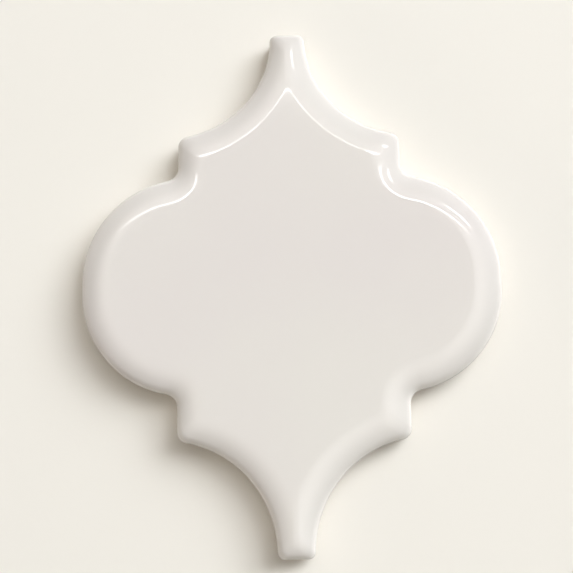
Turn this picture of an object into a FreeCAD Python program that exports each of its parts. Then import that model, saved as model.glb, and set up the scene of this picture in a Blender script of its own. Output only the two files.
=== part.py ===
import FreeCAD, Part
import math
import os

import Sketcher

# Arabesque (lantern) wall tile: one piece of pressed clay, glazed on its face and fired.
# +X runs across the two lobes, +Y along the two tips and +Z out of the glazed face.
# The origin is the centre of the back. One quarter is drawn, its edge is rolled over, and it is mirrored twice.

document = FreeCAD.newDocument("ArabesqueTile")

# Driving sizes in millimetres, slopes in degrees
SIZES = {
    "tile_width": 150.0,       # across the lobes
    "tile_height": 190.0,      # from tip to tip
    "tile_thickness": 12.0,    # back to flat face
    "tip_width": 13.0,         # narrowest width of the necks
    "lobe_radius": 37.5,
    "side_flat": 4.0,          # straight run at the widest point of each lobe
    "shoulder_round": 4.0,     # outward corner beside each step
    "tip_round": 2.5,          # corners of the tips
    "grout_joint": 1.0,        # even gap left between tiles that nest in each other
    "rim_height": 6.8,         # straight side wall below the rolled edge
    "bevel_width": 11.0,       # from the outline in to the flat face
    "edge_round": 3.5,         # outermost turn of the rolled edge
    "crease_round": 8.0,       # turn from the rolled edge into the flat face
    "crease_slope": 3.0,       # slope at which that turn ends
    "groove_length": 84.0,     # keying grooves pressed into the back
    "groove_width": 5.0,
    "groove_depth": 0.8,
    "groove_pitch": 12.0,
    "groove_count": 6,
}

sheet = document.addObject("Spreadsheet::Sheet", "Sizes")
for row, (alias, value) in enumerate(SIZES.items(), start=1):
    sheet.set(f"A{row}", alias)
    sheet.set(f"B{row}", str(value))
    sheet.setAlias(f"B{row}", alias)
document.recompute()

tile = document.addObject("PartDesign::Body", "ArabesqueTile")
tile.Label = "arabesque_tile"
datum = {feature.Role: feature for feature in tile.Origin.OriginFeatures}

# Ends of a line or arc, its centre, and a sketch's own origin and upright axis, as constraints name them
START, END, CENTRE = range(1, 4)
ORIGIN, UPRIGHT = -1, -2


def size(expression):
    """Value of a size, or of a sum of sizes, in the sheet."""
    return float(sheet.evalExpression(expression))


def point(x, y):
    return FreeCAD.Vector(x, y, 0)


def line(x1, y1, x2, y2):
    return Part.LineSegment(point(x1, y1), point(x2, y2))


def arc(centre, radius, first_angle, last_angle):
    circle = Part.Circle(centre, FreeCAD.Vector(0, 0, 1), radius)
    return Part.ArcOfCircle(circle, first_angle, last_angle)


def heading(from_point, to_point):
    return math.atan2(to_point.y - from_point.y, to_point.x - from_point.x)


def constrain(sketch, kind, *where):
    sketch.addConstraint(Sketcher.Constraint(kind, *where))


def dimension(sketch, name, expression, kind, *where):
    """Add a named dimension that follows the sheet."""
    value = FreeCAD.Units.Quantity(sketch.evalExpression(expression))
    index = sketch.addConstraint(Sketcher.Constraint(kind, *where, value))
    sketch.renameConstraint(index, name)
    sketch.setExpression(f"Constraints.{name}", expression)


def measure(sketch, name, kind, *where):
    """Add a named reference dimension, which reads a size that follows from the others."""
    index = sketch.addConstraint(Sketcher.Constraint(kind, *where, 1.0))
    sketch.setDriving(index, False)
    sketch.renameConstraint(index, name)


# Quarter outline, from the widest point of the right lobe to the middle of the upper tip.
# Its edge is its own mirror image through the middle of the step, less the joint, so that tiles nest.
STEP_X = "(Sizes.tile_width + Sizes.tip_width) / 4"
NECK_RADIUS = "(Sizes.lobe_radius + Sizes.grout_joint)"
NOTCH_ROUND = "(Sizes.shoulder_round + Sizes.grout_joint)"
NECK_X = f"Sizes.tip_width / 2 + {NECK_RADIUS}"
NECK_Y = "(Sizes.tile_height + Sizes.grout_joint - Sizes.side_flat) / 2"


def tangent_height(reach, across):
    """Upright distance between the centres of two arcs that touch."""
    return math.sqrt(reach ** 2 - across ** 2)


def draw_outline():
    half_width = size("tile_width") / 2
    half_height = size("tile_height") / 2
    lobe_radius = size("lobe_radius")
    shoulder_round = size("shoulder_round")
    tip_round = size("tip_round")
    step_x = size(STEP_X)
    neck_radius = size(NECK_RADIUS)
    notch_round = size(NOTCH_ROUND)

    lobe = point(half_width - lobe_radius, size("side_flat") / 2)
    neck = point(size(NECK_X), size(NECK_Y))
    notch_x = step_x + notch_round
    notch = point(notch_x, lobe.y + tangent_height(lobe_radius + notch_round, notch_x - lobe.x))
    shoulder_x = step_x - shoulder_round
    shoulder = point(shoulder_x, neck.y - tangent_height(neck_radius + shoulder_round, neck.x - shoulder_x))
    tip_y = half_height - tip_round
    tip = point(neck.x - tangent_height(neck_radius + tip_round, neck.y - tip_y), tip_y)
    lobe_turn = heading(lobe, notch)
    shoulder_turn = heading(shoulder, neck)
    tip_turn = heading(tip, neck)

    sketch = tile.newObject("Sketcher::SketchObject", "Outline")
    sketch.AttachmentSupport = [(datum["XY_Plane"], "")]
    sketch.MapMode = "FlatFace"
    across = sketch.addGeometry(line(0, 0, half_width, 0))
    lobe_side = sketch.addGeometry(line(half_width, 0, half_width, lobe.y))
    lobe_arc = sketch.addGeometry(arc(lobe, lobe_radius, 0, lobe_turn))
    notch_arc = sketch.addGeometry(arc(notch, notch_round, math.pi, math.pi + lobe_turn))
    step = sketch.addGeometry(line(step_x, notch.y, step_x, shoulder.y))
    shoulder_arc = sketch.addGeometry(arc(shoulder, shoulder_round, 0, shoulder_turn))
    neck_arc = sketch.addGeometry(arc(neck, neck_radius, math.pi + tip_turn, math.pi + shoulder_turn))
    tip_arc = sketch.addGeometry(arc(tip, tip_round, tip_turn, math.pi / 2))
    tip_end = sketch.addGeometry(line(tip.x, half_height, 0, half_height))
    along = sketch.addGeometry(line(0, half_height, 0, 0))

    constrain(sketch, "Coincident", across, START, ORIGIN, START)
    constrain(sketch, "Coincident", across, END, lobe_side, START)
    constrain(sketch, "Tangent", lobe_side, END, lobe_arc, START)
    constrain(sketch, "Tangent", lobe_arc, END, notch_arc, END)
    constrain(sketch, "Tangent", notch_arc, START, step, START)
    constrain(sketch, "Tangent", step, END, shoulder_arc, START)
    constrain(sketch, "Tangent", shoulder_arc, END, neck_arc, END)
    constrain(sketch, "Tangent", neck_arc, START, tip_arc, START)
    constrain(sketch, "Tangent", tip_arc, END, tip_end, START)
    constrain(sketch, "Coincident", tip_end, END, along, START)
    constrain(sketch, "Coincident", along, END, ORIGIN, START)
    for level in (across, tip_end):
        constrain(sketch, "Horizontal", level)
    for upright in (lobe_side, step, along):
        constrain(sketch, "Vertical", upright)

    dimension(sketch, "half_width", "Sizes.tile_width / 2", "DistanceX", ORIGIN, START, across, END)
    dimension(sketch, "half_height", "Sizes.tile_height / 2", "DistanceY", ORIGIN, START, along, START)
    dimension(sketch, "half_flat", "Sizes.side_flat / 2", "DistanceY", lobe_side, START, lobe_side, END)
    dimension(sketch, "lobe_radius", "Sizes.lobe_radius", "Radius", lobe_arc)
    dimension(sketch, "notch_round", NOTCH_ROUND, "Radius", notch_arc)
    dimension(sketch, "step_x", STEP_X, "DistanceX", ORIGIN, START, step, START)
    dimension(sketch, "shoulder_round", "Sizes.shoulder_round", "Radius", shoulder_arc)
    dimension(sketch, "neck_radius", NECK_RADIUS, "Radius", neck_arc)
    dimension(sketch, "neck_x", NECK_X, "DistanceX", ORIGIN, START, neck_arc, CENTRE)
    dimension(sketch, "neck_y", NECK_Y, "DistanceY", ORIGIN, START, neck_arc, CENTRE)
    dimension(sketch, "tip_round", "Sizes.tip_round", "Radius", tip_arc)

    measure(sketch, "step_foot", "DistanceY", ORIGIN, START, step, START)
    measure(sketch, "step_head", "DistanceY", ORIGIN, START, step, END)
    measure(sketch, "tip_flat", "DistanceX", ORIGIN, START, tip_end, START)
    measure(sketch, "neck_end_x", "DistanceX", ORIGIN, START, neck_arc, START)
    measure(sketch, "neck_end_y", "DistanceY", ORIGIN, START, neck_arc, START)
    measure(sketch, "lobe_turn", "Angle", lobe_arc)
    measure(sketch, "shoulder_turn", "Angle", shoulder_arc)
    measure(sketch, "neck_turn", "Angle", neck_arc)
    measure(sketch, "tip_turn", "Angle", tip_arc)
    return sketch


outline = draw_outline()
document.recompute()

blank = tile.newObject("PartDesign::Pad", "Blank")
blank.Profile = outline
blank.setExpression("Length", "Sizes.tile_thickness")
document.recompute()


# Rolled edge. Every stretch of the outline is cut by the same profile, drawn upright across the edge:
# a tight turn out of the side wall, a long roll inwards and a last turn that dies into the flat face.
# Each cut ends where its stretch ends; neighbours meet in hips at the corners and in a ridge along the necks.
OVERSHOOT = "Sizes.shoulder_round"


def roll_shape():
    """Centre and radius of the long roll, which touches the turns on both sides of it."""
    slope = math.radians(size("crease_slope"))
    crease = point(size("bevel_width"), size("tile_thickness - crease_round"))
    edge = point(size("edge_round"), size("rim_height"))
    downhill = point(math.sin(slope), -math.cos(slope))
    reach = crease - edge
    growth = size("crease_round - edge_round")
    shift = (reach.dot(reach) - growth ** 2) / (2 * (growth - reach.dot(downhill)))
    return crease + downhill * shift, size("crease_round") + shift


def place_profile(name, edge_x, edge_y, inward):
    """Start an upright sketch with its origin on the outline and its first axis pointing into the tile."""
    sketch = tile.newObject("Sketcher::SketchObject", name)
    sketch.AttachmentSupport = [(datum["XZ_Plane"], "")]
    sketch.MapMode = "FlatFace"
    sketch.AttachmentOffset = FreeCAD.Placement(point(0, 0), FreeCAD.Rotation(FreeCAD.Vector(0, 1, 0), 180))
    sketch.setExpression("AttachmentOffset.Base.x", edge_x)
    sketch.setExpression("AttachmentOffset.Base.z", f"-{edge_y}")
    sketch.setExpression("AttachmentOffset.Rotation.Angle", inward)
    return sketch


def draw_frame(sketch, outer_turn, inner_curve, inner_end):
    """Close the profile above its curve, from the inner end up, outwards and down to the top of the side wall."""
    overshoot = size(OVERSHOOT)
    top = size("tile_thickness") + overshoot
    rim = size("rim_height")
    rise = sketch.addGeometry(line(inner_end.x, inner_end.y, inner_end.x, top))
    lid = sketch.addGeometry(line(inner_end.x, top, -overshoot, top))
    fall = sketch.addGeometry(line(-overshoot, top, -overshoot, rim))
    ledge = sketch.addGeometry(line(-overshoot, rim, 0, rim))
    constrain(sketch, "Coincident", inner_curve, START, rise, START)
    constrain(sketch, "Coincident", rise, END, lid, START)
    constrain(sketch, "Coincident", lid, END, fall, START)
    constrain(sketch, "Coincident", fall, END, ledge, START)
    constrain(sketch, "Coincident", ledge, END, outer_turn, END)
    for upright in (rise, fall):
        constrain(sketch, "Vertical", upright)
    for level in (lid, ledge):
        constrain(sketch, "Horizontal", level)
    constrain(sketch, "PointOnObject", outer_turn, END, UPRIGHT)
    constrain(sketch, "Horizontal", outer_turn, CENTRE, outer_turn, END)
    dimension(sketch, "edge_round", "Sizes.edge_round", "Radius", outer_turn)
    dimension(sketch, "rim_height", "Sizes.rim_height", "DistanceY", ORIGIN, START, outer_turn, END)
    dimension(sketch, "lid_height", f"Sizes.tile_thickness + {OVERSHOOT}", "DistanceY", ORIGIN, START, lid, END)
    dimension(sketch, "overshoot", OVERSHOOT, "DistanceX", ledge, START, ledge, END)


def draw_outer_turn(sketch, inner_angle):
    edge = point(size("edge_round"), size("rim_height"))
    return sketch.addGeometry(arc(edge, size("edge_round"), inner_angle, math.pi))


def draw_profile(sketch):
    """Whole profile, from the side wall to the flat face."""
    roll, roll_radius = roll_shape()
    crease_round = size("crease_round")
    crease = point(size("bevel_width"), size("tile_thickness") - crease_round)
    edge = point(size("edge_round"), size("rim_height"))
    crease_turn = heading(roll, crease)
    outer_turn = draw_outer_turn(sketch, heading(roll, edge))
    long_roll = sketch.addGeometry(arc(roll, roll_radius, crease_turn, heading(roll, edge)))
    inner_turn = sketch.addGeometry(arc(crease, crease_round, math.pi / 2, crease_turn))
    constrain(sketch, "Tangent", outer_turn, START, long_roll, END)
    constrain(sketch, "Tangent", long_roll, START, inner_turn, END)
    constrain(sketch, "Vertical", inner_turn, CENTRE, inner_turn, START)
    draw_frame(sketch, outer_turn, inner_turn, point(crease.x, size("tile_thickness")))
    dimension(sketch, "bevel_width", "Sizes.bevel_width", "DistanceX", ORIGIN, START, inner_turn, START)
    dimension(sketch, "thickness", "Sizes.tile_thickness", "DistanceY", ORIGIN, START, inner_turn, START)
    dimension(sketch, "crease_round", "Sizes.crease_round", "Radius", inner_turn)
    dimension(sketch, "crease_slope", "Sizes.crease_slope * 1 deg", "Angle", inner_turn)
    measure(sketch, "roll_radius", "Radius", long_roll)
    measure(sketch, "edge_turn", "Angle", outer_turn)


def draw_corner_profile(sketch, corner_round):
    """Outer part of the same profile, ending at the axis of an outward corner that is narrower than the bevel."""
    roll, roll_radius = roll_shape()
    edge_round = size("edge_round")
    edge = point(edge_round, size("rim_height"))
    edge_turn = heading(roll, edge)
    axis_x = size(corner_round)
    if axis_x < edge_round + edge_round * math.cos(edge_turn):
        inner_end = point(axis_x, edge.y + tangent_height(edge_round, edge_round - axis_x))
        outer_turn = draw_outer_turn(sketch, heading(edge, inner_end))
        inner_curve = outer_turn
    else:
        inner_end = point(axis_x, roll.y + tangent_height(roll_radius, roll.x - axis_x))
        outer_turn = draw_outer_turn(sketch, edge_turn)
        inner_curve = sketch.addGeometry(arc(roll, roll_radius, heading(roll, inner_end), edge_turn))
        constrain(sketch, "Tangent", outer_turn, START, inner_curve, END)
        dimension(sketch, "roll_radius", "LobeSideProfile.Constraints.roll_radius", "Radius", inner_curve)
        dimension(sketch, "edge_turn", "LobeSideProfile.Constraints.edge_turn", "Angle", outer_turn)
    draw_frame(sketch, outer_turn, inner_curve, inner_end)
    dimension(sketch, "corner_round", corner_round, "DistanceX", ORIGIN, START, inner_curve, START)


def cut_straight(name, profile, length):
    cut = tile.newObject("PartDesign::Pocket", name)
    cut.Profile = profile
    cut.Reversed = True
    cut.setExpression("Length", length)
    document.recompute()


def cut_round(name, profile, axis_x, turn):
    """Turn the profile about an upright axis, which lies at axis_x in the sketch."""
    x = float(profile.evalExpression(axis_x))
    axis = profile.addGeometry(line(x, 0, x, size("tile_thickness")), True)
    constrain(profile, "Vertical", axis)
    dimension(profile, "axis_foot", "0", "DistanceY", ORIGIN, START, axis, START)
    dimension(profile, "axis_length", "Sizes.tile_thickness", "DistanceY", axis, START, axis, END)
    dimension(profile, "axis_x", axis_x, "DistanceX", ORIGIN, START, axis, START)
    cut = tile.newObject("PartDesign::Groove", name)
    cut.Profile = profile
    cut.ReferenceAxis = (profile, ["Axis0"])
    cut.setExpression("Angle", turn)
    document.recompute()


SIDEWAYS = "180 deg"
DOWNWARDS = "270 deg"
TIP_INWARD = "270 deg - Outline.Constraints.tip_turn"
STEP_FOOT = ("Outline.Constraints.step_x", "Outline.Constraints.step_foot", SIDEWAYS)
STEP_HEAD = ("Outline.Constraints.step_x", "Outline.Constraints.step_head", SIDEWAYS)
NECK_END = ("Outline.Constraints.neck_end_x", "Outline.Constraints.neck_end_y", TIP_INWARD)

profile = place_profile("LobeSideProfile", "Outline.Constraints.half_width", "0", SIDEWAYS)
draw_profile(profile)
cut_straight("LobeSide", profile, "Outline.Constraints.half_flat")

profile = place_profile(
    "LobeProfile", "Outline.Constraints.half_width", "Outline.Constraints.half_flat", SIDEWAYS)
draw_profile(profile)
cut_round("Lobe", profile, "Outline.Constraints.lobe_radius", "Outline.Constraints.lobe_turn")

profile = place_profile("NotchProfile", *STEP_FOOT)
draw_profile(profile)
cut_round("Notch", profile, "-Outline.Constraints.notch_round", "Outline.Constraints.lobe_turn")

profile = place_profile("StepProfile", *STEP_FOOT)
draw_profile(profile)
cut_straight("Step", profile, "Outline.Constraints.step_head - Outline.Constraints.step_foot")

profile = place_profile("ShoulderProfile", *STEP_HEAD)
draw_corner_profile(profile, "Sizes.shoulder_round")
cut_round("Shoulder", profile, "Sizes.shoulder_round", "Outline.Constraints.shoulder_turn")

profile = place_profile("NeckProfile", *NECK_END)
draw_profile(profile)
cut_round("Neck", profile, "-Outline.Constraints.neck_radius", "Outline.Constraints.neck_turn")

profile = place_profile("TipCornerProfile", *NECK_END)
draw_corner_profile(profile, "Sizes.tip_round")
cut_round("TipCorner", profile, "Sizes.tip_round", "Outline.Constraints.tip_turn")

profile = place_profile(
    "TipEndProfile", "Outline.Constraints.tip_flat", "Outline.Constraints.half_height", DOWNWARDS)
draw_profile(profile)
cut_straight("TipEnd", profile, "Outline.Constraints.tip_flat")


# The finished quarter, mirrored to a half and then to the whole tile
def mirror(name, plane):
    copy = tile.newObject("PartDesign::Mirrored", name)
    copy.TransformMode = "Whole shape"
    copy.MirrorPlane = (datum[plane], [""])
    copy.Refine = True
    tile.Tip = copy
    document.recompute()


mirror("Half", "YZ_Plane")
mirror("Whole", "XZ_Plane")


# Unglazed back: a field of round-ended grooves for the adhesive to key into
def draw_groove():
    reach = size("(groove_length - groove_width) / 2")
    radius = size("groove_width") / 2
    height = size("groove_pitch * (groove_count - 1) / 2")
    sketch = tile.newObject("Sketcher::SketchObject", "GrooveOutline")
    sketch.AttachmentSupport = [(datum["XY_Plane"], "")]
    sketch.MapMode = "FlatFace"
    upper = sketch.addGeometry(line(reach, -height + radius, -reach, -height + radius))
    left = sketch.addGeometry(arc(point(-reach, -height), radius, math.pi / 2, 3 * math.pi / 2))
    lower = sketch.addGeometry(line(-reach, -height - radius, reach, -height - radius))
    right = sketch.addGeometry(arc(point(reach, -height), radius, -math.pi / 2, math.pi / 2))
    constrain(sketch, "Tangent", upper, END, left, START)
    constrain(sketch, "Tangent", left, END, lower, START)
    constrain(sketch, "Tangent", lower, END, right, START)
    constrain(sketch, "Tangent", right, END, upper, START)
    constrain(sketch, "Horizontal", upper)
    constrain(sketch, "Symmetric", left, CENTRE, right, CENTRE, UPRIGHT)
    half_length = "(Sizes.groove_length - Sizes.groove_width) / 2"
    first_height = "-Sizes.groove_pitch * (Sizes.groove_count - 1) / 2"
    dimension(sketch, "end_radius", "Sizes.groove_width / 2", "Radius", right)
    dimension(sketch, "half_length", half_length, "DistanceX", ORIGIN, START, right, CENTRE)
    dimension(sketch, "first_height", first_height, "DistanceY", ORIGIN, START, right, CENTRE)
    return sketch


groove = tile.newObject("PartDesign::Pocket", "Groove")
groove.Profile = draw_groove()
groove.Reversed = True
groove.setExpression("Length", "Sizes.groove_depth")
document.recompute()

grooves = tile.newObject("PartDesign::LinearPattern", "Grooves")
grooves.Originals = [groove]
grooves.Direction = (datum["Y_Axis"], [""])
grooves.setExpression("Length", "Sizes.groove_pitch * (Sizes.groove_count - 1)")
grooves.setExpression("Occurrences", "Sizes.groove_count")
tile.Tip = grooves
document.recompute()

# Nothing is written unless every feature has been made and the tile is one sound solid
failed = [item.Name for item in document.Objects if {"Invalid", "Error"} & set(item.State)]
shape = tile.Shape
if failed or shape.isNull() or not shape.isValid() or len(shape.Solids) != 1:
    raise RuntimeError(f"The tile did not build: {failed}")
os.makedirs("parts", exist_ok=True)
shape.exportStep(f"parts/{tile.Label}.step")
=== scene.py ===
import math

import bmesh
import bpy
import numpy as np
from mathutils import Matrix, Quaternion, Vector, noise


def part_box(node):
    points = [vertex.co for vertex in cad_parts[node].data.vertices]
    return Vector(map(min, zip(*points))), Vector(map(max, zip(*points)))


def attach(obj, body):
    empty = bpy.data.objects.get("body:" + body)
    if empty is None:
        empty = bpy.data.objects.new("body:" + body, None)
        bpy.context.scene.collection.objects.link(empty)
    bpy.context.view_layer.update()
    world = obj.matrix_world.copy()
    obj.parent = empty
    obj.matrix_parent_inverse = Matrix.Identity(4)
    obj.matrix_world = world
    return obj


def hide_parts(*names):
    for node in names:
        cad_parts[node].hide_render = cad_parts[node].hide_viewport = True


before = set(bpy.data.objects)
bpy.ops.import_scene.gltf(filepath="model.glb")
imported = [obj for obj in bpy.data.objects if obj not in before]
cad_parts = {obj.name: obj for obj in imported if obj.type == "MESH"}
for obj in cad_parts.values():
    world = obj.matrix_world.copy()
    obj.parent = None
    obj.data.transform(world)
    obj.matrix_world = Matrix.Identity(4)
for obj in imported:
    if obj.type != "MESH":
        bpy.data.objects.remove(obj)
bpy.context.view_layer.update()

# Tile: white clay, dry-pressed in the lantern outline, with a rolled edge on the face and grooves in the
# back. A glossy glaze covers the face and sides and stops just above the foot; the back is left bare.
# It is pressed and fired as one piece, so it is one closed mesh with two finishes.
MM = 0.001
_, tile_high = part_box("arabesque_tile")
half_width = tile_high.x
half_height = tile_high.y
thickness = tile_high.z
tip_width = 13 * MM
lobe_radius = 37.5 * MM
side_flat = 4 * MM
shoulder_round = 4 * MM
tip_round = 2.5 * MM
grout_joint = 1 * MM
step_x = (2 * half_width + tip_width) / 4
neck_radius = lobe_radius + grout_joint
notch_round = shoulder_round + grout_joint


def touching(reach, across):
    """Distance between the centres of two arcs that touch, along one axis, given it along the other."""
    return math.sqrt(reach ** 2 - across ** 2)


def heading(from_point, to_point):
    return math.atan2(to_point[1] - from_point[1], to_point[0] - from_point[0])


# Centres of the outline's arcs in the quarter with positive x and y
lobe = np.array((half_width - lobe_radius, side_flat / 2))
neck = np.array((tip_width / 2 + neck_radius, half_height + (grout_joint - side_flat) / 2))
notch_x = step_x + notch_round
notch = np.array((notch_x, lobe[1] + touching(lobe_radius + notch_round, notch_x - lobe[0])))
shoulder_x = step_x - shoulder_round
shoulder_drop = touching(neck_radius + shoulder_round, neck[0] - shoulder_x)
shoulder = np.array((shoulder_x, neck[1] - shoulder_drop))
tip_y = half_height - tip_round
tip = np.array((neck[0] - touching(neck_radius + tip_round, neck[1] - tip_y), tip_y))
lobe_turn = heading(lobe, notch)
shoulder_turn = heading(shoulder, neck)
tip_turn = heading(tip, neck)

# Section through the rolled edge: a tight turn out of the wall, a long roll, a turn into the flat face.
# The roll's arc touches the other two.
rim_height = 6.8 * MM
bevel_width = 11 * MM
edge_round = 3.5 * MM
crease_round = 8 * MM
crease_slope = math.radians(3)
edge_centre = np.array((edge_round, rim_height))
crease_centre = np.array((bevel_width, thickness - crease_round))
downhill = np.array((math.sin(crease_slope), -math.cos(crease_slope)))
across_roll = crease_centre - edge_centre
growth = crease_round - edge_round
shift = (across_roll @ across_roll - growth ** 2) / (2 * (growth - across_roll @ downhill))
roll_centre = crease_centre + downhill * shift
roll_radius = crease_round + shift
edge_join = edge_round * (1 + (edge_round - roll_centre[0]) / (roll_radius - edge_round))
crease_join = bevel_width + crease_round * (bevel_width - roll_centre[0]) / shift

# How softly the glaze runs over the lines where two rolled edges meet
hip_round = 3.1 * MM
ridge_round = 2.5 * MM
tip_hip_round = 2.5 * MM


def blended_least(a, b, radius):
    """Lesser of two depths, with the corner between them rounded off."""
    apart = np.minimum(np.abs(a - b), radius)
    rounded = (a + b - 2 * radius + np.sqrt(2 * radius ** 2 - apart ** 2)) / 2
    return np.where(np.abs(a - b) < radius, rounded, np.minimum(a, b))


def depth_inside(x, y):
    """Distance in from the outline, for points of the quarter."""
    from_lobe = np.arctan2(y - lobe[1], x - lobe[0])
    side = np.where(
        y <= lobe[1], half_width - x,
        np.where(
            from_lobe <= lobe_turn, lobe_radius - np.hypot(x - lobe[0], y - lobe[1]),
            np.where(y <= notch[1], np.hypot(x - notch[0], y - notch[1]) - notch_round, step_x - x)))
    near_neck = np.hypot(x - neck[0], y - neck[1]) - neck_radius
    far_neck = np.hypot(x + neck[0], y - neck[1]) - neck_radius
    depth = blended_least(side, near_neck, hip_round)
    depth = blended_least(depth, far_neck, ridge_round)
    return blended_least(depth, half_height - y, tip_hip_round)


def arc_height(depth, centre, radius):
    return centre[1] + np.sqrt(np.maximum(radius ** 2 - (depth - centre[0]) ** 2, 0))


def surface_height(depth):
    """Height of the glaze at a depth in from the outline."""
    depth = np.clip(depth, 0, bevel_width)
    turn = arc_height(depth, edge_centre, edge_round)
    roll = arc_height(depth, roll_centre, roll_radius)
    crease = arc_height(depth, crease_centre, crease_round)
    return np.where(depth < edge_join, turn, np.where(depth < crease_join, roll, crease))


def along_arc(centre, radius, first, last, count):
    turn = np.linspace(first, last, count, endpoint=False)
    return centre + radius * np.column_stack((np.cos(turn), np.sin(turn)))


def along_line(start, end, count, endpoint=False):
    share = np.linspace(0, 1, count, endpoint=endpoint)[:, None]
    return np.array(start) + share * (np.array(end) - np.array(start))


# Columns of the mesh along each stretch of a quarter, and rows across the rolled edge and the flat face.
# The first row of the face lies close inside the crease, and the guide that the rows run to further in.
flat_columns = 3
lobe_columns = 60
notch_columns = 30
step_columns = 12
shoulder_columns = 22
neck_columns = 72
tip_columns = 16
tip_flat_columns = 6
turn_rows = 10
roll_rows = 24
crease_rows = 6
face_rows = 14
first_face_inset = bevel_width + 0.25 * MM
guide_inset = bevel_width + 0.7 * MM
guide_corner_round = 2 * MM


def trace_quarter():
    """Points along the outline, and for each the point that its rows of the mesh run to.

    That guide lies just inside the crease round the flat face, and on the ridge along the neck.
    """
    inset = guide_inset
    corner_x = step_x - inset - guide_corner_round
    corner_reach = neck_radius + inset + guide_corner_round
    corner = np.array((corner_x, neck[1] - touching(corner_reach, neck[0] - corner_x)))
    corner_turn = heading(corner, neck)
    ridge_end = np.array((0, half_height - tip_width / 2))

    outline = [along_line((half_width, 0), (half_width, lobe[1]), flat_columns)]
    guide = [along_line((half_width - inset, 0), (half_width - inset, lobe[1]), flat_columns)]

    outline.append(along_arc(lobe, lobe_radius, 0, lobe_turn, lobe_columns))
    guide.append(along_arc(lobe, lobe_radius - inset, 0, lobe_turn, lobe_columns))

    outline.append(along_arc(notch, notch_round, math.pi + lobe_turn, math.pi, notch_columns))
    guide.append(along_arc(notch, notch_round + inset, math.pi + lobe_turn, math.pi, notch_columns))

    outline.append(along_line((step_x, notch[1]), (step_x, shoulder[1]), step_columns))
    guide.append(along_line((step_x - inset, notch[1]), (step_x - inset, corner[1]), step_columns))

    outline.append(along_arc(shoulder, shoulder_round, 0, shoulder_turn, shoulder_columns))
    guide.append(along_arc(corner, guide_corner_round, 0, corner_turn, shoulder_columns))

    neck_start = math.pi + shoulder_turn
    neck_end = math.pi + tip_turn
    outline.append(along_arc(neck, neck_radius, neck_start, neck_end, neck_columns))
    turn = np.linspace(corner_turn, tip_turn, neck_columns, endpoint=False)
    reach = np.minimum(neck_radius + inset, neck[0] / np.cos(turn))
    ridge = neck - reach[:, None] * np.column_stack((np.cos(turn), np.sin(turn)))
    guide.append(np.column_stack((ridge[:, 0], np.minimum(ridge[:, 1], ridge_end[1]))))

    outline.append(along_arc(tip, tip_round, tip_turn, math.pi / 2, tip_columns))
    outline.append(along_line((tip[0], half_height), (0, half_height), tip_flat_columns, endpoint=True))
    guide.append(np.tile(ridge_end, (tip_columns + tip_flat_columns, 1)))
    return np.vstack(outline), np.vstack(guide)


def row_shares():
    """Shares of the way from the outline to the guide, closest together where the section turns most."""
    turn_angle = math.acos(1 - edge_join / edge_round)
    turn = edge_round * (1 - np.cos(np.linspace(0, turn_angle, turn_rows)))
    roll = np.linspace(edge_join, crease_join, roll_rows)[1:]
    crease = np.linspace(crease_join, bevel_width, crease_rows)[1:]
    return np.concatenate((turn, roll, crease, [first_face_inset, guide_inset])) / guide_inset


def wander(x, y, length, seed):
    """Smooth random value from -1 to 1 that changes over a length."""
    flat = zip(np.ravel(x) / length, np.ravel(y) / length)
    values = [noise.noise(Vector((u, v, seed))) for u, v in flat]
    return np.reshape(values, np.shape(x))


# The glaze ripples a little as it melts, and ends above the foot in a wandering line with a thin lip
ripple = 0.025 * MM
ripple_length = 23 * MM
ripple_seed = 3.5
glaze_line = 1.3 * MM
glaze_line_wander = 0.35 * MM
glaze_line_length = 9 * MM
glaze_line_seed = 8.2
glaze_lip = 0.14 * MM
foot_chamfer = 0.4 * MM
foot_round = 0.12 * MM

# Section of the lip: how far the bare clay ends below the glaze line, then the rises above the line and
# the insets there, as shares of the lip
lip_gap = 0.04 * MM
lip_section = ((0, 0.5), (0.12 * MM, 0.1), (0.35 * MM, 0))


def press_quarter(side_x, side_y):
    """One quarter as columns of points from the foot up the wall and over the face.

    Also returns how many of the rows are bare clay.
    """
    outline, guide = trace_quarter()
    shares = row_shares()[None, :, None]
    spine = np.column_stack((np.zeros(len(guide)), guide[:, 1]))
    bevel = outline[:, None] + shares * (guide - outline)[:, None]
    face_shares = np.linspace(0, 1, face_rows + 1)[None, 1:, None]
    face = guide[:, None] + face_shares * (spine - guide)[:, None]

    # The blends take the depth a little off nought along the outline, so each column is brought back to it
    depth = depth_inside(bevel[..., 0], bevel[..., 1])
    depth -= depth[:, :1] * (1 - shares[..., 0])
    face_depth = depth_inside(face[..., 0], face[..., 1])
    plan = np.concatenate((bevel, face), axis=1) * (side_x, side_y)
    height = surface_height(np.concatenate((depth, face_depth), axis=1))
    fade = np.clip((height - rim_height) / (thickness - rim_height), 0, 1)
    height -= ripple * fade * (1 + wander(plan[..., 0], plan[..., 1], ripple_length, ripple_seed))
    top = np.dstack((plan, height))

    # Rows of the wall as height and inset, from the foot up
    tangent = np.gradient(outline, axis=0)
    tangent /= np.linalg.norm(tangent, axis=1)[:, None]
    inward = np.column_stack((-tangent[:, 1], tangent[:, 0])) * (side_x, side_y)
    edge = outline * (side_x, side_y)
    drift = wander(edge[:, 0], edge[:, 1], glaze_line_length, glaze_line_seed)
    line = glaze_line + glaze_line_wander * drift
    level = np.ones(len(edge))
    bare_rows = [
        (0 * level, foot_chamfer + glaze_lip),
        (foot_round * level, foot_round + glaze_lip),
        (foot_chamfer * level, glaze_lip),
        (line - lip_gap, glaze_lip),
    ]
    glazed_rows = [(line + rise, share * glaze_lip) for rise, share in lip_section]
    glazed_rows.append(((line + rim_height) / 2, 0))
    wall = [np.column_stack((edge + inset * inward, row)) for row, inset in bare_rows + glazed_rows]
    return np.concatenate((np.stack(wall, axis=1), top), axis=1), len(bare_rows)


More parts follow.
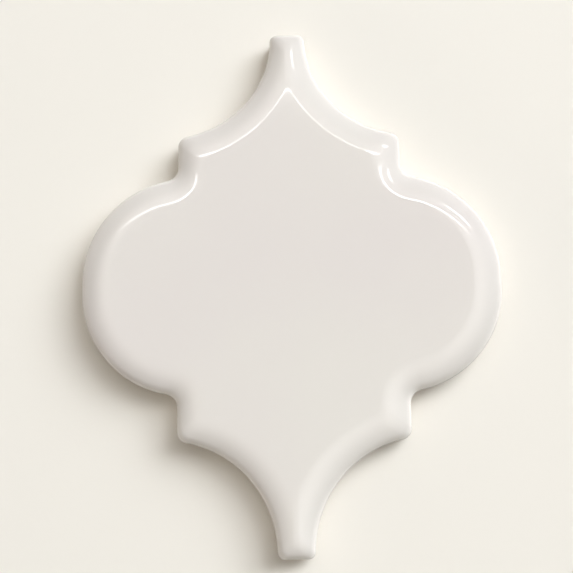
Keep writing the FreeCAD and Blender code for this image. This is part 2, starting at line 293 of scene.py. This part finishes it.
# Slots of the two finishes, and the grooves of the back
GLAZE, CLAY = 0, 1
groove_length = 84 * MM
groove_width = 5 * MM
groove_depth = 0.8 * MM
groove_pitch = 12 * MM
groove_count = 6
groove_end_points = 12
groove_side_points = 24

# Section of a groove from its mouth to its floor: distance in and depth, as shares of the depth
groove_section = ((0, 0), (0.15, 0.1), (0.31, 0.5), (0.52, 0.85), (1, 1))


def groove_ring(centre_y, inset, level):
    """Closed ring of points round a groove of the back, at an inset from its mouth."""
    reach = (groove_length - groove_width) / 2
    radius = groove_width / 2 - inset
    quarter = math.pi / 2
    ring = np.vstack((
        along_arc(np.array((reach, centre_y)), radius, -quarter, quarter, groove_end_points),
        along_line((reach, centre_y + radius), (-reach, centre_y + radius), groove_side_points),
        along_arc(np.array((-reach, centre_y)), radius, quarter, 3 * quarter, groove_end_points),
        along_line((-reach, centre_y - radius), (reach, centre_y - radius), groove_side_points)))
    return np.column_stack((ring, np.full(len(ring), level)))


def press_groove(mesh, centre_y):
    """Walls and floor of one groove. Returns the edges of its mouth."""
    rings = []
    for inset, level in groove_section:
        points = groove_ring(centre_y, inset * groove_depth, level * groove_depth)
        rings.append([mesh.verts.new(p) for p in points])
    for outer, inner in zip(rings, rings[1:]):
        for k in range(len(outer)):
            wall = mesh.faces.new((outer[k - 1], inner[k - 1], inner[k], outer[k]))
            wall.material_index = CLAY
    floor = mesh.faces.new(reversed(rings[-1]))
    floor.material_index = CLAY
    mouth = rings[0]
    return [mesh.edges.get((mouth[k - 1], mouth[k])) for k in range(len(mouth))]


weld_distance = 0.001 * MM


def press_tile():
    """Four quarters welded together, closed by the back with its grooves."""
    mesh = bmesh.new()
    for side_x, side_y in ((1, 1), (-1, 1), (-1, -1), (1, -1)):
        points, bare_rows = press_quarter(side_x, side_y)
        columns, rows = points.shape[:2]
        verts = [mesh.verts.new(p) for p in points.reshape(-1, 3)]
        for column in range(columns - 1):
            for row in range(rows - 1):
                corner = column * rows + row
                ring = [verts[corner], verts[corner + rows], verts[corner + rows + 1], verts[corner + 1]]
                if side_x * side_y < 0:
                    ring.reverse()
                quad = mesh.faces.new(ring)
                quad.material_index = CLAY if row + 1 < bare_rows else GLAZE
    bmesh.ops.remove_doubles(mesh, verts=mesh.verts, dist=weld_distance)

    rim = [edge for edge in mesh.edges if edge.is_boundary]
    first_groove = -groove_pitch * (groove_count - 1) / 2
    for k in range(groove_count):
        rim += press_groove(mesh, first_groove + k * groove_pitch)
    back = bmesh.ops.triangle_fill(mesh, edges=rim, use_beauty=True, normal=(0, 0, -1))
    for item in back["geom"]:
        if isinstance(item, bmesh.types.BMFace):
            item.material_index = CLAY
    bmesh.ops.recalc_face_normals(mesh, faces=mesh.faces)
    for face in mesh.faces:
        face.smooth = True

    data = bpy.data.meshes.new("arabesque_tile_glazed")
    mesh.to_mesh(data)
    mesh.free()
    piece = bpy.data.objects.new("arabesque_tile_glazed", data)
    bpy.context.scene.collection.objects.link(piece)
    return piece


tile = press_tile()


def new_material(name):
    material = bpy.data.materials.new(name)
    material.use_nodes = True
    return material, material.node_tree, material.node_tree.nodes["Principled BSDF"]


def build_mottle():
    """Slow drift between two colours, and a fine grain, as glaze, clay and board all show them."""
    group = bpy.data.node_groups.new("mottle", "ShaderNodeTree")
    socket = group.interface.new_socket
    socket("Color", in_out="INPUT", socket_type="NodeSocketColor")
    socket("Drift Color", in_out="INPUT", socket_type="NodeSocketColor")
    socket("Drift Scale", in_out="INPUT", socket_type="NodeSocketFloat")
    socket("Grain Scale", in_out="INPUT", socket_type="NodeSocketFloat")
    socket("Color", in_out="OUTPUT", socket_type="NodeSocketColor")
    socket("Drift", in_out="OUTPUT", socket_type="NodeSocketFloat")
    socket("Grain", in_out="OUTPUT", socket_type="NodeSocketFloat")
    inside = group.nodes.new("NodeGroupInput")
    outside = group.nodes.new("NodeGroupOutput")
    place = group.nodes.new("ShaderNodeTexCoord")
    drift = group.nodes.new("ShaderNodeTexNoise")
    drift.inputs["Detail"].default_value = 3
    grain = group.nodes.new("ShaderNodeTexNoise")
    grain.inputs["Detail"].default_value = 3
    blend = group.nodes.new("ShaderNodeMix")
    blend.data_type = "RGBA"
    link = group.links.new
    link(place.outputs["Object"], drift.inputs["Vector"])
    link(place.outputs["Object"], grain.inputs["Vector"])
    link(inside.outputs["Drift Scale"], drift.inputs["Scale"])
    link(inside.outputs["Grain Scale"], grain.inputs["Scale"])
    link(drift.outputs["Fac"], blend.inputs["Factor"])
    link(inside.outputs["Color"], blend.inputs["A"])
    link(inside.outputs["Drift Color"], blend.inputs["B"])
    link(blend.outputs["Result"], outside.inputs["Color"])
    link(drift.outputs["Fac"], outside.inputs["Drift"])
    link(grain.outputs["Fac"], outside.inputs["Grain"])
    return group


mottle = build_mottle()


def add_mottle(tree, color, drift_color, drift_scale, grain_scale):
    node = tree.nodes.new("ShaderNodeGroup")
    node.node_tree = mottle
    node.inputs["Color"].default_value = (*color, 1)
    node.inputs["Drift Color"].default_value = (*drift_color, 1)
    node.inputs["Drift Scale"].default_value = drift_scale
    node.inputs["Grain Scale"].default_value = grain_scale
    return node


grain_height = 0.2 * MM


def add_grain_bump(tree, skin, height, strength):
    bump = tree.nodes.new("ShaderNodeBump")
    bump.inputs["Strength"].default_value = strength
    bump.inputs["Distance"].default_value = grain_height
    tree.links.new(height, bump.inputs["Height"])
    tree.links.new(bump.outputs["Normal"], skin.inputs["Normal"])


def fade_out(tree, value, start, end, amount):
    """Mask that falls from an amount to nothing between two values."""
    fall = tree.nodes.new("ShaderNodeMapRange")
    fall.inputs["From Min"].default_value = start
    fall.inputs["From Max"].default_value = end
    fall.inputs["To Min"].default_value = amount
    fall.inputs["To Max"].default_value = 0
    tree.links.new(value, fall.inputs["Value"])
    return fall.outputs["Result"]


def lay_over(tree, below, color, mask):
    """Colour laid over another where a mask shows it."""
    mix = tree.nodes.new("ShaderNodeMix")
    mix.data_type = "RGBA"
    mix.inputs["B"].default_value = (*color, 1)
    tree.links.new(below, mix.inputs["A"])
    tree.links.new(mask, mix.inputs["Factor"])
    return mix.outputs["Result"]


# Colours of the glaze: the two that it drifts between, where it is thin on the sides, the pale band over
# the outer edge, where the glaze breaks and a highlight is painted along the rim, and in its pinholes
warm_white = (0.7, 0.645, 0.645)
drifted_white = (0.765, 0.755, 0.69)
thin_glaze = (0.58, 0.52, 0.45)
broken_glaze_and_rim_highlight = (0.91, 0.88, 0.84)
pinhole_brown = (0.5, 0.44, 0.38)

# How pale the outer edge is, from the glaze breaking and a painted rim highlight, against how far its
# surface has turned from upright (0) to level (1)
edge_break_and_highlight = ((0.1, 0), (0.25, 0.3), (0.5, 0.3), (0.72, 0))


def make_glaze():
    """Warm white glaze, thin and warmer on the sides, and paler over the outer edge, where it breaks and a
    highlight is painted along the rim.

    It has a few faint pinholes.
    """
    material, tree, skin = new_material("warm_white_glaze")
    skin.inputs["IOR"].default_value = 1.7
    link = tree.links.new
    flow = add_mottle(tree, warm_white, drifted_white, drift_scale=10, grain_scale=420)
    surface = tree.nodes.new("ShaderNodeTexCoord")
    lean = tree.nodes.new("ShaderNodeSeparateXYZ")
    link(surface.outputs["Normal"], lean.inputs["Vector"])
    level = lean.outputs["Z"]

    upright = fade_out(tree, level, start=0.05, end=0.2, amount=0.8)
    color = lay_over(tree, flow.outputs["Color"], thin_glaze, upright)

    # Pale band over the outer edge: partly glaze breaking there, partly a painted highlight along the rim
    edge = tree.nodes.new("ShaderNodeValToRGB")
    edge.color_ramp.elements[-1].color = (0, 0, 0, 1)
    for place, amount in edge_break_and_highlight:
        stop = edge.color_ramp.elements.new(place)
        stop.color = (amount, amount, amount, 1)
    link(level, edge.inputs["Fac"])
    color = lay_over(tree, color, broken_glaze_and_rim_highlight, edge.outputs["Color"])

    holes = tree.nodes.new("ShaderNodeTexVoronoi")
    holes.inputs["Scale"].default_value = 55
    link(surface.outputs["Object"], holes.inputs["Vector"])
    in_hole = fade_out(tree, holes.outputs["Distance"], start=0.006, end=0.014, amount=0.25)
    color = lay_over(tree, color, pinhole_brown, in_hole)
    link(color, skin.inputs["Base Color"])

    gloss = tree.nodes.new("ShaderNodeMapRange")
    gloss.inputs["To Min"].default_value = 0.05
    gloss.inputs["To Max"].default_value = 0.1
    link(flow.outputs["Drift"], gloss.inputs["Value"])
    link(gloss.outputs["Result"], skin.inputs["Roughness"])
    add_grain_bump(tree, skin, flow.outputs["Grain"], strength=0.01)
    return material


clay_pale = (0.68, 0.6, 0.5)
clay_dark = (0.6, 0.51, 0.41)


def make_bare_clay():
    material, tree, skin = new_material("bare_fired_clay")
    skin.inputs["Roughness"].default_value = 0.9
    body = add_mottle(tree, clay_pale, clay_dark, drift_scale=40, grain_scale=1800)
    tree.links.new(body.outputs["Color"], skin.inputs["Base Color"])
    add_grain_bump(tree, skin, body.outputs["Grain"], strength=0.4)
    return material


tile.data.materials.append(make_glaze())
tile.data.materials.append(make_bare_clay())
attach(tile, "root")
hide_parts("arabesque_tile")

# Floor: a broad sheet of matt cream board that the tile lies on, rolled out flat.
# It meets the tile a hair above the foot and is open under the middle of it. From below it is clear,
# so that the back can be looked at.
floor_half = 2.5
floor_level = 0.05 * MM
opening = ((groove_length + groove_width) / 2, groove_pitch * groove_count / 2)
board_cream = (0.86, 0.834, 0.778)
board_drift = (0.845, 0.819, 0.758)


def lay_floor():
    corners = ((-1, -1), (1, -1), (1, 1), (-1, 1))
    points = [(x * floor_half, y * floor_half, floor_level) for x, y in corners]
    points += [(x * opening[0], y * opening[1], floor_level) for x, y in corners]
    sides = [(k, (k + 1) % 4, (k + 1) % 4 + 4, k + 4) for k in range(4)]
    data = bpy.data.meshes.new("floor")
    data.from_pydata(points, [], sides)
    sheet = bpy.data.objects.new("floor", data)
    bpy.context.scene.collection.objects.link(sheet)

    material, tree, skin = new_material("cream_board")
    skin.inputs["Roughness"].default_value = 0.9
    skin.inputs["Specular IOR Level"].default_value = 0.1
    board = add_mottle(tree, board_cream, board_drift, drift_scale=3, grain_scale=900)
    tree.links.new(board.outputs["Color"], skin.inputs["Base Color"])
    add_grain_bump(tree, skin, board.outputs["Grain"], strength=0.05)
    facing = tree.nodes.new("ShaderNodeNewGeometry")
    clear = tree.nodes.new("ShaderNodeBsdfTransparent")
    either = tree.nodes.new("ShaderNodeMixShader")
    link = tree.links.new
    link(facing.outputs["Backfacing"], either.inputs["Fac"])
    link(skin.outputs["BSDF"], either.inputs[1])
    link(clear.outputs["BSDF"], either.inputs[2])
    link(either.outputs["Shader"], tree.nodes["Material Output"].inputs["Surface"])
    data.materials.append(material)
    return sheet


lay_floor()

# Studio light: soft lamps at the upper right, low at the left and overhead, a wide frame for the sheen on
# the rolled edge, a thin strip and a short rod for the highlights on creases, lobes and ridge, and a lamp
# for the back. Each is a frame with white cloth stretched over it, and fades out to its edges.
lamp_fade = 0.35


def soften(tree, value, start, end):
    """Smooth rise from nothing to one between two values."""
    rise = tree.nodes.new("ShaderNodeMapRange")
    rise.interpolation_type = "SMOOTHSTEP"
    rise.inputs["From Min"].default_value = start
    rise.inputs["From Max"].default_value = end
    tree.links.new(value, rise.inputs["Value"])
    return rise.outputs["Result"]


def multiply(tree, a, b):
    product = tree.nodes.new("ShaderNodeMath")
    product.operation = "MULTIPLY"
    tree.links.new(a, product.inputs[0])
    tree.links.new(b, product.inputs[1])
    return product.outputs["Value"]


def hang_lamp(name, azimuth, elevation, distance, half_angles, radiance, tint, roll=0, dim_spot=None):
    """Soft rectangular lamp that faces the tile, with all angles in degrees.

    Azimuth is from +X towards +Y. The half angles are its width and height as the tile sees them, and the
    roll turns it in its own plane. A dim spot is a place on the cloth, from 0 to 1 each way, and the
    distances from it at which the light begins and is full.
    """
    turn = math.radians(azimuth)
    rise = math.radians(elevation)
    outward = math.cos(rise)
    towards = Vector((math.cos(turn) * outward, math.sin(turn) * outward, math.sin(rise)))
    data = bpy.data.lights.new(name, "AREA")
    data.shape = "RECTANGLE"
    data.size = 2 * distance * math.tan(math.radians(half_angles[0]))
    data.size_y = 2 * distance * math.tan(math.radians(half_angles[1]))
    data.energy = radiance * math.pi * data.size * data.size_y
    data.color = tint
    data.use_nodes = True
    tree = data.node_tree
    link = tree.links.new
    place = tree.nodes.new("ShaderNodeNewGeometry").outputs["Parametric"]
    split = tree.nodes.new("ShaderNodeSeparateXYZ")
    link(place, split.inputs["Vector"])
    fades = []
    for axis in "XY":
        # Distance from the nearer edge, 0 there and 0.5 in the middle
        from_edge = tree.nodes.new("ShaderNodeMath")
        from_edge.operation = "PINGPONG"
        from_edge.inputs[1].default_value = 0.5
        link(split.outputs[axis], from_edge.inputs[0])
        fades.append(soften(tree, from_edge.outputs["Value"], 0, lamp_fade))
    cloth = multiply(tree, *fades)
    if dim_spot:
        middle, *reach = dim_spot
        from_middle = tree.nodes.new("ShaderNodeVectorMath")
        from_middle.operation = "DISTANCE"
        from_middle.inputs[1].default_value = (*middle, 0)
        link(place, from_middle.inputs[0])
        cloth = multiply(tree, cloth, soften(tree, from_middle.outputs["Value"], *reach))
    link(cloth, tree.nodes["Emission"].inputs["Strength"])
    lamp = bpy.data.objects.new(name, data)
    lamp.location = towards * distance
    rolled = Quaternion((0, 0, 1), math.radians(roll))
    lamp.rotation_euler = (towards.to_track_quat("Z", "Y") @ rolled).to_euler()
    lamp.visible_camera = False
    bpy.context.scene.collection.objects.link(lamp)
    return lamp


cool = (0.97, 1, 1.03)
neutral = (1, 1, 1)

# Where the flat face mirrors the wide frame, the frame is dim
mirrored_spot = ((0.466, 0.601), 0.09, 0.18)

key_lamp = hang_lamp(
    "key_lamp", azimuth=42, elevation=35.5, distance=6, half_angles=(25, 30), radiance=6.3, tint=cool)
side_lamp = hang_lamp(
    "side_lamp", azimuth=22, elevation=29, distance=5.5, half_angles=(18, 14), radiance=7.4, tint=cool)
low_lamp = hang_lamp(
    "low_lamp", azimuth=206, elevation=12, distance=6.5, half_angles=(30, 10), radiance=3.3,
    tint=(1.1, 1, 0.85))
hang_lamp(
    "overhead_box", azimuth=75, elevation=82, distance=6, half_angles=(46, 46), radiance=0.88,
    tint=(1.07, 1, 0.92))
gloss_frame = hang_lamp(
    "gloss_frame", azimuth=240, elevation=84, distance=5, half_angles=(53, 53), radiance=1,
    tint=(1.03, 1, 0.97), dim_spot=mirrored_spot)
hang_lamp(
    "crease_strip", azimuth=87, elevation=64.6, distance=4, half_angles=(31, 1), radiance=15, tint=neutral)
hang_lamp(
    "streak_rod", azimuth=47, elevation=47.2, distance=4.5, half_angles=(8, 2), radiance=8.5, tint=neutral,
    roll=20)
hang_lamp(
    "back_lamp", azimuth=280, elevation=-72, distance=6, half_angles=(30, 30), radiance=6, tint=neutral)

# The three lamps at the sides hang behind polarising sheets, which keep their glare off the gloss
for side in (key_lamp, side_lamp, low_lamp):
    side.visible_glossy = False

# The wide frame only shows as a soft sheen along the rolled edge
gloss_frame.visible_diffuse = False

# Room: pale walls and ceiling all round. In the gloss they darken towards the ceiling, and as light on the
# tile they are dim enough to leave the shading to the lamps.
room = bpy.data.worlds.new("pale_room")
room.use_nodes = True
room_tree = room.node_tree
pale_walls = room_tree.nodes["Background"]
pale_walls.inputs["Color"].default_value = (0.9, 0.875, 0.81, 1)
dim_walls = room_tree.nodes.new("ShaderNodeBackground")
dim_walls.inputs["Color"].default_value = (1, 0.96, 0.91, 1)
dim_walls.inputs["Strength"].default_value = 0.02
direction = room_tree.nodes.new("ShaderNodeTexCoord")
upwards = room_tree.nodes.new("ShaderNodeSeparateXYZ")
ceiling = room_tree.nodes.new("ShaderNodeMapRange")
ceiling.inputs["From Min"].default_value = 0.1
ceiling.inputs["From Max"].default_value = 0.5
ceiling.inputs["To Min"].default_value = 1
ceiling.inputs["To Max"].default_value = 0.15
path = room_tree.nodes.new("ShaderNodeLightPath")
paleness = room_tree.nodes.new("ShaderNodeMath")
paleness.operation = "MAXIMUM"
seen_or_glossy = room_tree.nodes.new("ShaderNodeMath")
seen_or_glossy.operation = "MAXIMUM"
in_view = room_tree.nodes.new("ShaderNodeMath")
in_view.operation = "MAXIMUM"
walls = room_tree.nodes.new("ShaderNodeMixShader")
room_link = room_tree.links.new
room_link(direction.outputs["Generated"], upwards.inputs["Vector"])
room_link(upwards.outputs["Z"], ceiling.inputs["Value"])
room_link(ceiling.outputs["Result"], paleness.inputs[0])
room_link(path.outputs["Is Camera Ray"], paleness.inputs[1])
room_link(paleness.outputs["Value"], pale_walls.inputs["Strength"])
room_link(path.outputs["Is Camera Ray"], seen_or_glossy.inputs[0])
room_link(path.outputs["Is Glossy Ray"], seen_or_glossy.inputs[1])
room_link(seen_or_glossy.outputs["Value"], in_view.inputs[0])
room_link(path.outputs["Is Transmission Ray"], in_view.inputs[1])
room_link(in_view.outputs["Value"], walls.inputs["Fac"])
room_link(dim_walls.outputs["Background"], walls.inputs[1])
room_link(pale_walls.outputs["Background"], walls.inputs[2])
room_link(walls.outputs["Shader"], room_tree.nodes["World Output"].inputs["Surface"])
bpy.context.scene.world = room

# Camera: looks down on the tile from a little towards its lower tip, and turned slightly.
# Its place is given from the middle of the rim, in the camera's own directions.
camera_distance = 304.5 * MM
camera_right = -1.79 * MM
camera_up = -1.15 * MM
camera_tilt = math.radians(10.43)
camera_lean = math.radians(0.3)
camera_twist = math.radians(-1.12)
camera_turn = (
    Matrix.Rotation(camera_tilt, 3, "X")
    @ Matrix.Rotation(camera_lean, 3, "Y")
    @ Matrix.Rotation(camera_twist, 3, "Z"))
camera_reach = Vector((camera_right, camera_up, camera_distance))
camera_data = bpy.data.cameras.new("camera")
camera_data.sensor_width = 36
camera_data.lens = 53.4
camera_data.clip_start = 0.01
camera = bpy.data.objects.new("camera", camera_data)
camera.rotation_euler = camera_turn.to_euler()
camera.location = camera_turn @ camera_reach + Vector((0, 0, rim_height))
bpy.context.scene.collection.objects.link(camera)
bpy.context.scene.camera = camera

bpy.context.scene.view_settings.view_transform = "Standard"

bpy.context.view_layer.update()
